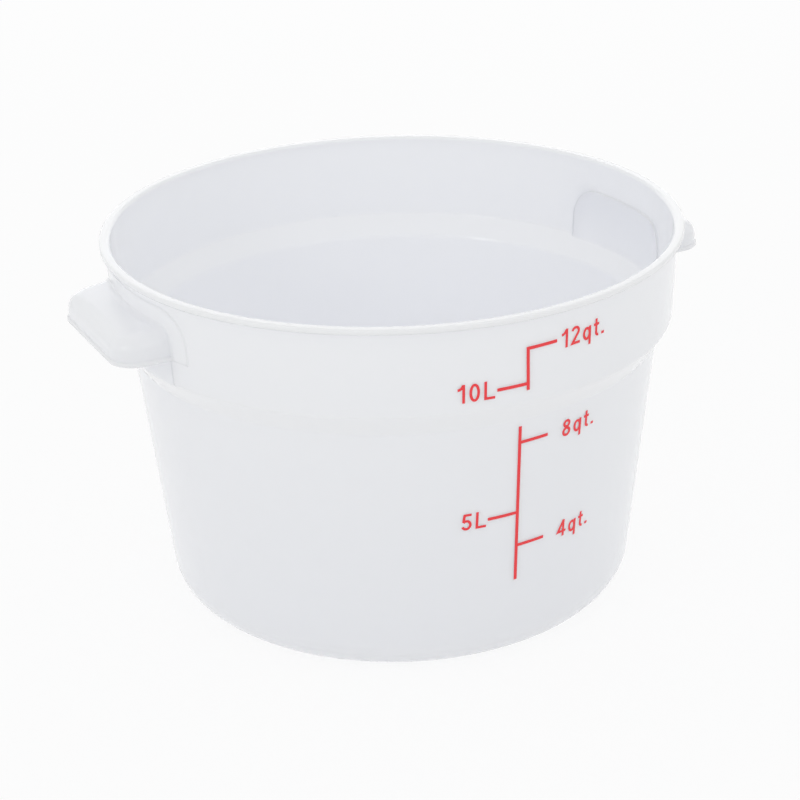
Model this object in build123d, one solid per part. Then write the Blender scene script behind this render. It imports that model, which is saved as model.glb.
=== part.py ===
from build123d import *
import os
from math import asin, atan2, cos, degrees, radians, sin, sqrt, tan

# A round food tub moulded in milky polypropylene, of about twelve quarts, with two
# hooded handles under the rim and a red scale printed on its wall.
# Lengths are in millimetres and angles in degrees. The tub stands on z = 0 with its axis
# on Z. The handles lie on +X and -X, and the scale faces -Y.

# Outer wall of the tub, given from the rim down and inwards
height = 209.0
rim_radius = 159.2
lip_overhang = 3.3
collar_height = 49.2
collar_taper = 2.0
shoulder_height = 12.6
shoulder_step = 8.1
body_taper = 15.5
shoulder_top_round = 3.0
shoulder_foot_round = 4.0
base_corner_radius = 18.5

# Wall, floor and foot ring
wall = 2.3
floor_thickness = 2.4
foot_recess_depth = 1.0
foot_ring_width = 13.8

# Lip round the rim
lip_height = 3.0
lip_edge_chamfer = 0.6
rim_inner_chamfer = 1.2

# Hood of a handle, whose roof falls away from the collar. Depths are below the rim
hood_half_width = 44.8
hood_projection = 22.7
hood_corner_radius = 13.8
hood_edge_radius = 9.0
hood_roof_depth = 18.3
hood_roof_angle = 7.6
hood_wall = 2.3
cove_radius = 4.0
cove_wall_angle = 70.0
cove_end_angle = 84.0

# Bead along the lower edge of a hood
bead_bottom_depth = 35.0
bead_height = 2.3
bead_overhang = 1.0
bead_edge_chamfer = 0.5

# Raised pad on the collar, round the root of a hood
pad_margin = 11.2
pad_top_depth = 7.5
pad_corner_radius = 18.0
pad_thickness = 0.6

# Finger recess in the collar, under a hood
recess_depth = 1.0
recess_corner_radius = 18.0

# Printed scale
ink_thickness = 0.15
ink_line_width = 1.7
ink_tick_length = 16.7
ink_lean = 1.4
ink_line_x = -2.6
ink_turn_z = 120.0
twelve_quart_depth = 19.25
ten_litre_rise = 10.9
upper_line_rise = 7.3
lower_line_drop = 3.7
eight_quart_drop = 13.1
five_litre_z = 92.3
four_quart_z = 71.9
lower_line_foot_z = 50.5

# One overrun for every cut
overrun = 1.0

# Radii and heights that follow from the sizes above
collar_top_radius = rim_radius - lip_overhang
collar_foot_radius = collar_top_radius - collar_taper
body_top_radius = collar_foot_radius - shoulder_step
body_foot_radius = body_top_radius - body_taper
foot_recess_radius = body_foot_radius - base_corner_radius - foot_ring_width
lip_foot_z = height - lip_height
shoulder_top_z = height - collar_height
shoulder_foot_z = shoulder_top_z - shoulder_height
hood_reach = collar_foot_radius + hood_projection
hood_roof_z = height - hood_roof_depth
hood_root_x = sqrt((collar_foot_radius - wall) ** 2 - hood_half_width**2) - overrun
bead_bottom_z = height - bead_bottom_depth

# Slopes of the outer wall, as the radius gained for each millimetre of height
collar_slope = collar_taper / collar_height
body_slope = body_taper / shoulder_foot_z
shoulder_lean = atan2(shoulder_step, shoulder_height)


def collar_radius(z):
    """Outer radius of the collar at a height."""
    return collar_foot_radius + collar_slope * (z - shoulder_top_z)


def body_radius(z):
    """Outer radius of the body below the shoulder at a height."""
    return body_foot_radius + body_slope * z


def turned(points, rounds):
    """Turns an outline that starts and ends on the axis, with its corners rounded."""
    outline = FilletPolyline(*points, radius=rounds)
    axis_line = Line(points[-1], points[0])
    section = make_face(outline.edges() + axis_line.edges())
    return revolve(Plane.XZ * section, Axis.Z)


def outer_tub():
    """The tub as if it were solid, with its lip and its foot ring."""
    points = [
        (0, foot_recess_depth),
        (foot_recess_radius, foot_recess_depth),
        (foot_recess_radius + foot_recess_depth, 0),
        (body_foot_radius, 0),
        (body_top_radius, shoulder_foot_z),
        (collar_foot_radius, shoulder_top_z),
        (collar_radius(lip_foot_z), lip_foot_z),
        (rim_radius - lip_edge_chamfer, lip_foot_z),
        (rim_radius, lip_foot_z + lip_edge_chamfer),
        (rim_radius, height - lip_edge_chamfer),
        (rim_radius - lip_edge_chamfer, height),
        (0, height),
    ]
    rounds = [
        0,
        0,
        base_corner_radius,
        shoulder_foot_round,
        shoulder_top_round,
        0,
        0,
        0,
        0,
        0,
    ]
    return turned(points, rounds)


def inner_tub():
    """The space inside the tub, open past the rim, one wall inside the outer faces."""
    collar_inset = wall * sqrt(1 + collar_slope**2)
    body_inset = wall * sqrt(1 + body_slope**2)
    shoulder_rise = wall * tan(shoulder_lean / 2)
    floor_z = foot_recess_depth + floor_thickness
    foot_radius = body_radius(floor_z) - body_inset
    lower_z = shoulder_foot_z + shoulder_rise
    upper_z = shoulder_top_z + shoulder_rise
    edge_z = height - rim_inner_chamfer
    edge_radius = collar_radius(edge_z) - collar_inset
    mouth_radius = edge_radius + rim_inner_chamfer
    points = [
        (0, floor_z),
        (foot_radius, floor_z),
        (body_radius(lower_z) - body_inset, lower_z),
        (collar_radius(upper_z) - collar_inset, upper_z),
        (edge_radius, edge_z),
        (mouth_radius, height),
        (mouth_radius, height + overrun),
        (0, height + overrun),
    ]
    rounds = [
        base_corner_radius - wall,
        shoulder_foot_round + wall,
        shoulder_top_round - wall / 2,
        0,
        0,
        0,
    ]
    return turned(points, rounds)


def collar_band(inner_offset, outer_offset, foot_z, top_z):
    """A ring that follows the outer face of the collar, between two offsets from it."""
    points = [
        (collar_radius(foot_z) + inner_offset, foot_z),
        (collar_radius(foot_z) + outer_offset, foot_z),
        (collar_radius(top_z) + outer_offset, top_z),
        (collar_radius(top_z) + inner_offset, top_z),
    ]
    return revolve(Plane.XZ * make_face(Polyline(*points, close=True)), Axis.Z)


def arch_prism(half_width, foot_z, top_z, corner):
    """An arch with two rounded upper corners, run out along X through one handle."""
    points = [
        (-half_width, foot_z),
        (-half_width, top_z),
        (half_width, top_z),
        (half_width, foot_z),
    ]
    outline = FilletPolyline(*points, radius=[corner, corner])
    closing = Line(points[-1], points[0])
    face = Plane.YZ * make_face(outline.edges() + closing.edges())
    return extrude(face, hood_reach + overrun)


def hood_plan(half_width, reach, corner):
    """The outline of a hood seen from above, from inside the collar to its outer edge."""
    points = [
        (hood_root_x, -half_width),
        (reach, -half_width),
        (reach, half_width),
        (hood_root_x, half_width),
    ]
    outline = FilletPolyline(*points, radius=[corner, corner])
    closing = Line(points[-1], points[0])
    return make_face(outline.edges() + closing.edges())


def roof_space(inset):
    """All that lies under the roof of a hood, which sweeps up to the collar in a cove."""
    radius = cove_radius + inset
    centre_z = hood_roof_z + cove_radius
    wall_z = centre_z - cove_radius * cos(radians(cove_wall_angle))
    centre_radius = collar_radius(wall_z) + cove_radius * sin(radians(cove_wall_angle))
    end_angle = degrees(asin(cove_radius * sin(radians(cove_end_angle)) / radius))

    def on_cove(angle):
        turn = radians(angle)
        return (centre_radius - radius * sin(turn), centre_z - radius * cos(turn))

    foot = on_cove(hood_roof_angle)
    end = on_cove(end_angle)
    far_radius = hood_reach + hood_half_width
    far_z = foot[1] - (far_radius - foot[0]) * tan(radians(hood_roof_angle))
    straight = Polyline(end, (0, end[1]), (0, 0), (far_radius, 0), (far_radius, far_z), foot)
    cove = ThreePointArc(foot, on_cove((hood_roof_angle + end_angle) / 2), end)
    return revolve(Plane.XZ * make_face(straight.edges() + cove.edges()), Axis.Z)


def hood_block(inset, foot_z):
    """A hood as a solid, inset from its outside all round, with the edges of its roof rounded."""
    half_width = hood_half_width - inset
    reach = hood_reach - inset
    corner = hood_corner_radius - inset
    plan = hood_plan(half_width, reach, corner)
    block = extrude(Pos(0, 0, foot_z) * plan, height - foot_z) & roof_space(inset)
    roof_fall = (hood_projection + hood_corner_radius) * tan(radians(hood_roof_angle))
    low_limit = hood_roof_z - inset - roof_fall - overrun
    upper = block.edges().filter_by(lambda edge: edge.center().Z > low_limit)
    upper = upper.filter_by(lambda edge: edge.center().X > hood_root_x + overrun)
    rim_edges = upper.filter_by(
        lambda edge: edge.center().X > reach - corner or abs(edge.center().Y) > half_width - corner / 2
    )
    return fillet(rim_edges, hood_edge_radius - inset)


def hood_cavity():
    """The hollow of a hood, open below and outside the face of the collar."""
    core_foot = shoulder_foot_z - overrun
    core_points = [
        (0, core_foot),
        (collar_radius(core_foot), core_foot),
        (collar_radius(height), height),
        (0, height),
    ]
    core = revolve(Plane.XZ * make_face(Polyline(*core_points, close=True)), Axis.Z)
    return hood_block(hood_wall, shoulder_foot_z) - core


def bead():
    """The bead along the lower edge of a hood."""
    half_width = hood_half_width + bead_overhang
    reach = hood_reach + bead_overhang
    plan = hood_plan(half_width, reach, hood_corner_radius + bead_overhang)
    block = extrude(Pos(0, 0, bead_bottom_z) * plan, bead_height)
    flat_faces = block.faces().sort_by(Axis.Z)
    flat_edges = flat_faces[0].edges() + flat_faces[-1].edges()
    flat_edges = flat_edges.filter_by(lambda edge: edge.center().X > hood_root_x + overrun)
    return chamfer(flat_edges, bead_edge_chamfer)


def handle():
    """The material that one handle adds outside the collar."""
    pad_half_width = hood_half_width + pad_margin
    pad_outline = arch_prism(pad_half_width, bead_bottom_z, height - pad_top_depth, pad_corner_radius)
    pad = pad_outline & collar_band(-wall / 2, pad_thickness, bead_bottom_z - overrun, lip_foot_z)
    return hood_block(0, bead_bottom_z) + bead() + pad


def recess_bulge():
    """The part of the collar's wall that the finger recess pushes inwards."""
    outline = arch_prism(hood_half_width, shoulder_foot_z, hood_roof_z, recess_corner_radius)
    band = collar_band(-wall - recess_depth, -wall / 2, shoulder_foot_z, height)
    return outline & band & outer_tub()


def recess_cut():
    """The finger recess itself, cut into the outer face of the collar."""
    half_width = hood_half_width - hood_wall
    corner = recess_corner_radius - hood_wall
    outline = arch_prism(half_width, shoulder_foot_z, hood_roof_z - hood_wall, corner)
    band = collar_band(-recess_depth, pad_thickness + overrun, shoulder_foot_z, height)
    return outline & band


def both_sides(shape):
    """A shape at the +X handle, with its twin at the -X handle."""
    return shape + Rot(0, 0, 180) * shape


def container():
    """The whole moulding."""
    tub = outer_tub() + both_sides(handle()) - inner_tub()
    tub = tub + both_sides(recess_bulge())
    return tub - both_sides(hood_cavity()) - both_sides(recess_cut())


def ink_bar(centre_x, centre_z, width, depth):
    """One bar of the scale, placed in the plane of the print."""
    return Pos(centre_x - ink_line_x, centre_z - ink_turn_z) * Rectangle(width, depth)


def ink_line(foot_z, top_z):
    """An upright line of the scale."""
    return ink_bar(ink_line_x, (foot_z + top_z) / 2, ink_line_width, top_z - foot_z)


def ink_tick(z, side):
    """A tick that starts at the upright line and runs to one side of it."""
    return ink_bar(ink_line_x + side * ink_tick_length / 2, z, ink_tick_length, ink_line_width)


def printed(bars, radius_at, foot_z, top_z):
    """Wraps a flat figure onto the wall as a thin layer of ink."""
    print_plane = Plane(origin=(ink_line_x, 0, ink_turn_z), x_dir=(1, 0, 0), z_dir=(0, -1, 0))
    figure = print_plane * (Rot(0, 0, ink_lean) * bars)
    points = [
        (radius_at(foot_z), foot_z),
        (radius_at(foot_z) + ink_thickness, foot_z),
        (radius_at(top_z) + ink_thickness, top_z),
        (radius_at(top_z), top_z),
    ]
    layer = revolve(Plane.XZ * make_face(Polyline(*points, close=True)), Axis.Z)
    return extrude(figure, rim_radius) & layer


def upper_scale():
    """The print on the collar: an upright line with a tick to each side."""
    twelve_quart_z = height - twelve_quart_depth
    bars = ink_line(shoulder_top_z + upper_line_rise, twelve_quart_z + ink_line_width / 2)
    bars = bars + ink_tick(twelve_quart_z, 1) + ink_tick(shoulder_top_z + ten_litre_rise, -1)
    return printed(bars, collar_radius, shoulder_top_z + shoulder_top_round, lip_foot_z)


def lower_scale():
    """The print on the body: an upright line with three ticks."""
    bars = ink_line(lower_line_foot_z, shoulder_foot_z - lower_line_drop)
    bars = bars + ink_tick(shoulder_foot_z - eight_quart_drop, 1)
    bars = bars + ink_tick(five_litre_z, -1) + ink_tick(four_quart_z, 1)
    return printed(bars, body_radius, base_corner_radius, shoulder_foot_z)


nodes = {
    "container_body": container(),
    "upper_scale_print": upper_scale(),
    "lower_scale_print": lower_scale(),
}

os.makedirs("parts", exist_ok=True)
for name, shape in nodes.items():
    export_step(shape, f"parts/{name}.step")
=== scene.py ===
"""A round food tub of milky plastic with a red printed scale, on a pale floor in soft studio light."""

from math import cos, hypot, radians, sin

import bmesh
import bpy
from mathutils import Euler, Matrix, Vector


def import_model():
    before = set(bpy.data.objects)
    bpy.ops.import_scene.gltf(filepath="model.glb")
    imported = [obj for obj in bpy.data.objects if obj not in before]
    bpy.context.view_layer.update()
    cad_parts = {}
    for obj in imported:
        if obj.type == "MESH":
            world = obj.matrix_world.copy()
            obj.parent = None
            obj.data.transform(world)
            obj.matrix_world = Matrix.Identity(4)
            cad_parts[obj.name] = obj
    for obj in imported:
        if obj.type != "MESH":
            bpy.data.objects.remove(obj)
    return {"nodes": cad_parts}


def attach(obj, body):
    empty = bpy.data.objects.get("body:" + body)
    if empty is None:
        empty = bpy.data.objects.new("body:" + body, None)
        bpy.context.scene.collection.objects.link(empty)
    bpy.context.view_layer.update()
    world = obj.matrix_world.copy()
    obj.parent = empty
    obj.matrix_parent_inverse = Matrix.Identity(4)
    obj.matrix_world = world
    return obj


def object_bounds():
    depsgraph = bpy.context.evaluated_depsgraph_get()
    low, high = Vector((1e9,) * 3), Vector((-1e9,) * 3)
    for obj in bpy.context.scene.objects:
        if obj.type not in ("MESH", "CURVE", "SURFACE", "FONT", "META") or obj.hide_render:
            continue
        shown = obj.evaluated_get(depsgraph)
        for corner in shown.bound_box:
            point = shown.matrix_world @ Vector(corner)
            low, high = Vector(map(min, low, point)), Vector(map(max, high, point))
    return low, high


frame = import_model()
cad_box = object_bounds()

MM = 0.001
WHITE = (1, 1, 1, 1)

# Camera, at the photograph's place. Metres and degrees.
CAMERA_PLACE = (-0.4634, -0.9376, 0.5733)
CAMERA_TURN = (65.662, 1.512, -27.087)
CAMERA_LENS = 90.634
SENSOR_WIDTH = 36.0
CAMERA_AZIMUTH = -26.3

# Lamps, with their azimuth counted from the camera's: azimuth, elevation, width, depth, watts
LAMP_DISTANCE = 2.2
SOFTBOXES = {
    "left_softbox": (-45, 28, 0.4, 0.4, 2.2),
    "right_softbox": (36, 28, 0.4, 0.4, 0.6),
    "back_softbox": (180, 14, 2.4, 1.0, 4.0),
}
WORLD_LIGHT = 0.83
WORLD_TINT = (0.98, 0.99, 1.0, 1)
LIGHT_BOUNCES = 32

# Floor: the share of its real shading that shows, which keeps the tub's shadow
FLOOR_RADIUS = 6.0
FLOOR_SIDES = 96
FLOOR_ROUGHNESS = 0.9
FLOOR_SHADING_SHARE = 0.12
FLOOR_COLOUR = (0.9, 0.9, 0.9, 1)

# Milky plastic: two near tones that drift into each other, in linear colour
PLASTIC_TONES = ((0.922, 0.933, 0.978, 1), (0.938, 0.946, 0.988, 1))
PLASTIC_DRIFT_SCALE = 14
PLASTIC_ROUGHNESS = (0.12, 0.2)
PLASTIC_GLOSS_SCALE = 45
PLASTIC_IOR = 1.49
PLASTIC_LIGHT_DEPTH = 8 * MM
MOULD_GRAIN_SCALE = 900
MOULD_GRAIN_DEPTH = 0.1 * MM
MOULD_GRAIN_STRENGTH = 0.04
EDGE_SOFTNESS = 1.5 * MM
EDGE_SAMPLES = 6
NOISE_DETAIL = 3

# Red ink: two near tones of its cover
INK_TONES = ((0.92, 0.035, 0.045, 1), (0.98, 0.05, 0.06, 1))
INK_DRIFT_SCALE = 700
INK_ROUGHNESS = 0.45

# Outer wall of the tub, which carries the lettering: height and radius, low and high
COLLAR = ((159.8 * MM, 153.9 * MM), (209.0 * MM, 155.9 * MM))
BODY = ((0.0, 130.3 * MM), (147.2 * MM, 145.8 * MM))

# Lettering of the scale: name, text, left end along the wall, baseline, slope and wall
LETTER_HEIGHT = 10.1 * MM
LETTER_STROKE_SHARE = 0.136
LETTER_GAP_SHARE = 0.185
LETTER_INK = 0.12 * MM
ARC_STEP = radians(12)
SHARPEST_MITRE = 0.3
MARKS = (
    ("mark_12_quarts", "12qt.", 15.0 * MM, 184.9 * MM, 0.03, COLLAR),
    ("mark_10_litres", "10L", -41.3 * MM, 165.6 * MM, 0.012, COLLAR),
    ("mark_8_quarts", "8qt.", 23.2 * MM, 129.5 * MM, 0.05, BODY),
    ("mark_5_litres", "5L", -33.0 * MM, 87.2 * MM, 0.015, BODY),
    ("mark_4_quarts", "4qt.", 24.5 * MM, 67.9 * MM, 0.03, BODY),
)


def new_material(name):
    """A new material with its node tree and Principled shader."""
    material = bpy.data.materials.new(name)
    material.use_nodes = True
    tree = material.node_tree
    return material, tree, tree.nodes["Principled BSDF"]


def noise(tree, scale):
    """The value of a noise texture, which stays put on the object."""
    texture = tree.nodes.new("ShaderNodeTexNoise")
    texture.inputs["Scale"].default_value = scale
    texture.inputs["Detail"].default_value = NOISE_DETAIL
    return texture.outputs["Fac"]


def drifting_colour(tree, factor, tones):
    """A colour that drifts between two tones."""
    mix = tree.nodes.new("ShaderNodeMix")
    mix.data_type = "RGBA"
    mix.inputs["A"].default_value = tones[0]
    mix.inputs["B"].default_value = tones[1]
    tree.links.new(factor, mix.inputs["Factor"])
    return mix.outputs["Result"]


def milky_plastic():
    """Translucent polypropylene: light wanders in it, under a soft gloss and a faint mould grain."""
    material, tree, shader = new_material("milky_plastic")
    colour = drifting_colour(tree, noise(tree, PLASTIC_DRIFT_SCALE), PLASTIC_TONES)
    tree.links.new(colour, shader.inputs["Base Color"])
    gloss = tree.nodes.new("ShaderNodeMapRange")
    gloss.inputs["To Min"].default_value = PLASTIC_ROUGHNESS[0]
    gloss.inputs["To Max"].default_value = PLASTIC_ROUGHNESS[1]
    tree.links.new(noise(tree, PLASTIC_GLOSS_SCALE), gloss.inputs["Value"])
    tree.links.new(gloss.outputs["Result"], shader.inputs["Roughness"])
    shader.inputs["IOR"].default_value = PLASTIC_IOR
    shader.inputs["Subsurface Weight"].default_value = 1.0
    shader.inputs["Subsurface Radius"].default_value = (1.0, 1.0, 1.0)
    shader.inputs["Subsurface Scale"].default_value = PLASTIC_LIGHT_DEPTH
    soft_edge = tree.nodes.new("ShaderNodeBevel")
    soft_edge.samples = EDGE_SAMPLES
    soft_edge.inputs["Radius"].default_value = EDGE_SOFTNESS
    grain = tree.nodes.new("ShaderNodeBump")
    grain.inputs["Strength"].default_value = MOULD_GRAIN_STRENGTH
    grain.inputs["Distance"].default_value = MOULD_GRAIN_DEPTH
    tree.links.new(noise(tree, MOULD_GRAIN_SCALE), grain.inputs["Height"])
    tree.links.new(soft_edge.outputs["Normal"], grain.inputs["Normal"])
    tree.links.new(grain.outputs["Normal"], shader.inputs["Normal"])
    return material


def red_ink():
    """Printed ink with slightly uneven cover."""
    material, tree, shader = new_material("red_ink")
    colour = drifting_colour(tree, noise(tree, INK_DRIFT_SCALE), INK_TONES)
    tree.links.new(colour, shader.inputs["Base Color"])
    shader.inputs["Roughness"].default_value = INK_ROUGHNESS
    return material


def arc(centre, radii, start, end):
    """Points of an elliptical arc, between two angles in degrees."""
    count = max(2, round(abs(radians(end - start)) / ARC_STEP) + 1)
    angles = [radians(start + (end - start) * i / (count - 1)) for i in range(count)]
    return [(centre[0] + radii[0] * cos(a), centre[1] + radii[1] * sin(a)) for a in angles]


def glyph_strokes():
    """The centre lines of each letter's strokes, in letter heights: width, then paths."""
    return {
        "0": (0.57, [arc((0.285, 0.5), (0.2, 0.415), 0, 360)]),
        "1": (0.42, [[(0.335, 0), (0.335, 1)], arc((0.03, 1.0), (0.27, 0.27), -90, -8)]),
        "2": (0.57, [
            arc((0.28, 0.715), (0.2, 0.2), 168, -38) + [(0.09, 0.085), (0.57, 0.085)],
        ]),
        "4": (0.62, [[(0.44, 0.98), (0.08, 0.3), (0.62, 0.3)], [(0.44, 0), (0.44, 1)]]),
        "5": (0.57, [
            [(0.53, 0.915), (0.165, 0.915), (0.115, 0.5)],
            arc((0.275, 0.325), (0.21, 0.24), 140, -158),
        ]),
        "8": (0.57, [
            arc((0.285, 0.745), (0.165, 0.17), 0, 360),
            arc((0.285, 0.285), (0.2, 0.2), 0, 360),
        ]),
        "L": (0.58, [[(0.085, 1), (0.085, 0.085), (0.58, 0.085)]]),
        "q": (0.56, [arc((0.27, 0.355), (0.185, 0.285), 0, 360), [(0.475, -0.27), (0.475, 0.725)]]),
        "t": (0.37, [
            [(0.17, 0.96)] + arc((0.3, 0.215), (0.13, 0.14), 180, 285),
            [(0, 0.66), (0.36, 0.66)],
        ]),
        ".": (0.19, [[(0, 0.09), (0.18, 0.09)]]),
    }


def stroke_edges(path, width):
    """The two edges of a stroke along a path, mitred at its corners."""
    closed = hypot(path[0][0] - path[-1][0], path[0][1] - path[-1][1]) < width / 100
    points = [Vector(p) for p in (path[:-1] if closed else path)]
    count = len(points)
    left, right = [], []
    for i, point in enumerate(points):
        before = points[i - 1] if closed or i else None
        after = points[(i + 1) % count] if closed or i < count - 1 else None
        incoming = (point - before).normalized() if before is not None else None
        outgoing = (after - point).normalized() if after is not None else None
        incoming = incoming or outgoing
        outgoing = outgoing or incoming
        along = (incoming + outgoing).normalized()
        side = Vector((-along.y, along.x))
        reach = width / 2 / max(SHARPEST_MITRE, side.dot(Vector((-incoming.y, incoming.x))))
        left.append(point + side * reach)
        right.append(point - side * reach)
    return left, right, closed


def on_wall(x, z, wall, lift):
    """A point of the print, wrapped round the wall: x runs along the wall and z up."""
    low, high = wall
    radius = low[1] + (high[1] - low[1]) * (z - low[0]) / (high[0] - low[0])
    angle = x / radius
    return Vector(((radius + lift) * sin(angle), -(radius + lift) * cos(angle), z))


def add_print(name, build, ink):
    """Makes a piece of ink from a mesh under construction."""
    mesh = bpy.data.meshes.new(name)
    bmesh.ops.recalc_face_normals(build, faces=build.faces)
    build.to_mesh(mesh)
    build.free()
    mesh.materials.append(ink)
    piece = bpy.data.objects.new(name, mesh)
    bpy.context.scene.collection.objects.link(piece)
    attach(piece, "root")


def label(name, text, left, baseline, slope, wall, ink):
    """Letters of ink on the wall, from their left end and baseline."""
    build = bmesh.new()
    glyphs = glyph_strokes()
    pen = 0.0
    for letter in text:
        width, paths = glyphs[letter]
        for path in paths:
            one, other, closed = stroke_edges(path, LETTER_STROKE_SHARE)
            rows = []
            for points in (one, other):
                row = []
                for lift in (0.0, LETTER_INK):
                    line = []
                    for point in points:
                        x = left + (pen + point.x) * LETTER_HEIGHT
                        z = baseline + point.y * LETTER_HEIGHT + (x - left) * slope
                        line.append(build.verts.new(on_wall(x, z, wall, lift)))
                    row.append(line)
                rows.append(row)
            (base_a, top_a), (base_b, top_b) = rows
            count = len(base_a)
            for i in range(count if closed else count - 1):
                j = (i + 1) % count
                build.faces.new((top_a[i], top_b[i], top_b[j], top_a[j]))
                build.faces.new((base_a[i], base_a[j], base_b[j], base_b[i]))
                build.faces.new((base_a[i], top_a[i], top_a[j], base_a[j]))
                build.faces.new((base_b[i], base_b[j], top_b[j], top_b[i]))
            if not closed:
                for i in (0, count - 1):
                    build.faces.new((base_a[i], base_b[i], top_b[i], top_a[i]))
        pen += width + LETTER_GAP_SHARE
    add_print(name, build, ink)


def finish_nodes(plastic, ink):
    """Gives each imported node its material."""
    for name, node in frame["nodes"].items():
        material = plastic if name == "container_body" else ink
        for slot in node.material_slots:
            slot.material = material


def camera():
    """The camera, at the photograph's viewing angle."""
    data = bpy.data.cameras.new("camera")
    data.sensor_width = SENSOR_WIDTH
    data.lens = CAMERA_LENS
    eye = bpy.data.objects.new("camera", data)
    eye.location = CAMERA_PLACE
    eye.rotation_euler = Euler([radians(a) for a in CAMERA_TURN])
    bpy.context.scene.collection.objects.link(eye)
    bpy.context.scene.camera = eye


def softbox(name, azimuth, elevation, width, depth, watts):
    """A soft light that faces the tub, at an azimuth counted from the camera's."""
    data = bpy.data.lights.new(name, "AREA")
    data.shape = "RECTANGLE"
    data.size = width
    data.size_y = depth
    data.energy = watts
    around = radians(CAMERA_AZIMUTH + azimuth)
    up = radians(elevation)
    middle = Vector((0, 0, (cad_box[0].z + cad_box[1].z) / 2))
    away = Vector((sin(around) * cos(up), -cos(around) * cos(up), sin(up)))
    lamp = bpy.data.objects.new(name, data)
    lamp.location = middle + away * LAMP_DISTANCE
    lamp.rotation_euler = (-away).to_track_quat("-Z", "Y").to_euler()
    bpy.context.scene.collection.objects.link(lamp)


def plain_view_factor(tree):
    """1 for the rays that show the background: camera, glossy and transmission rays."""
    path = tree.nodes.new("ShaderNodeLightPath")
    some = tree.nodes.new("ShaderNodeMath")
    some.operation = "MAXIMUM"
    every = tree.nodes.new("ShaderNodeMath")
    every.operation = "MAXIMUM"
    tree.links.new(path.outputs["Is Camera Ray"], some.inputs[0])
    tree.links.new(path.outputs["Is Glossy Ray"], some.inputs[1])
    tree.links.new(some.outputs[0], every.inputs[0])
    tree.links.new(path.outputs["Is Transmission Ray"], every.inputs[1])
    return every.outputs[0]


def world():
    """An even pale light all round, which shows as white behind the tub."""
    scene = bpy.context.scene
    scene.world = bpy.data.worlds.new("studio")
    scene.world.use_nodes = True
    tree = scene.world.node_tree
    tree.nodes.clear()
    lit = tree.nodes.new("ShaderNodeBackground")
    lit.inputs["Color"].default_value = WORLD_TINT
    lit.inputs["Strength"].default_value = WORLD_LIGHT
    seen = tree.nodes.new("ShaderNodeBackground")
    seen.inputs["Color"].default_value = WHITE
    seen.inputs["Strength"].default_value = 1.0
    mix = tree.nodes.new("ShaderNodeMixShader")
    output = tree.nodes.new("ShaderNodeOutputWorld")
    tree.links.new(plain_view_factor(tree), mix.inputs["Fac"])
    tree.links.new(lit.outputs[0], mix.inputs[1])
    tree.links.new(seen.outputs[0], mix.inputs[2])
    tree.links.new(mix.outputs[0], output.inputs["Surface"])


def floor():
    """A pale floor that shows as white where it is lit and keeps some of the tub's shadow."""
    material, tree, shader = new_material("pale_floor")
    output = tree.nodes["Material Output"]
    shader.inputs["Base Color"].default_value = FLOOR_COLOUR
    shader.inputs["Roughness"].default_value = FLOOR_ROUGHNESS
    shader.inputs["Specular IOR Level"].default_value = 0.0
    glow = tree.nodes.new("ShaderNodeEmission")
    glow.inputs["Color"].default_value = WHITE
    glow.inputs["Strength"].default_value = 1.0
    share = tree.nodes.new("ShaderNodeMath")
    share.operation = "MULTIPLY"
    share.inputs[1].default_value = 1 - FLOOR_SHADING_SHARE
    mix = tree.nodes.new("ShaderNodeMixShader")
    tree.links.new(plain_view_factor(tree), share.inputs[0])
    tree.links.new(share.outputs[0], mix.inputs["Fac"])
    tree.links.new(shader.outputs[0], mix.inputs[1])
    tree.links.new(glow.outputs[0], mix.inputs[2])
    tree.links.new(mix.outputs[0], output.inputs["Surface"])
    bpy.ops.mesh.primitive_circle_add(vertices=FLOOR_SIDES, radius=FLOOR_RADIUS, fill_type="NGON")
    disc = bpy.context.object
    disc.name = "pale_floor"
    disc.data.materials.append(material)


def light_paths():
    """Enough bounces for light that passes to and fro through the milky wall."""
    cycles = bpy.context.scene.cycles
    cycles.max_bounces = LIGHT_BOUNCES
    cycles.diffuse_bounces = LIGHT_BOUNCES


plastic = milky_plastic()
ink = red_ink()
finish_nodes(plastic, ink)
for mark in MARKS:
    label(*mark, ink)
camera()
world()
floor()
for name, settings in SOFTBOXES.items():
    softbox(name, *settings)
light_paths()

bpy.context.scene.view_settings.view_transform = "Standard"
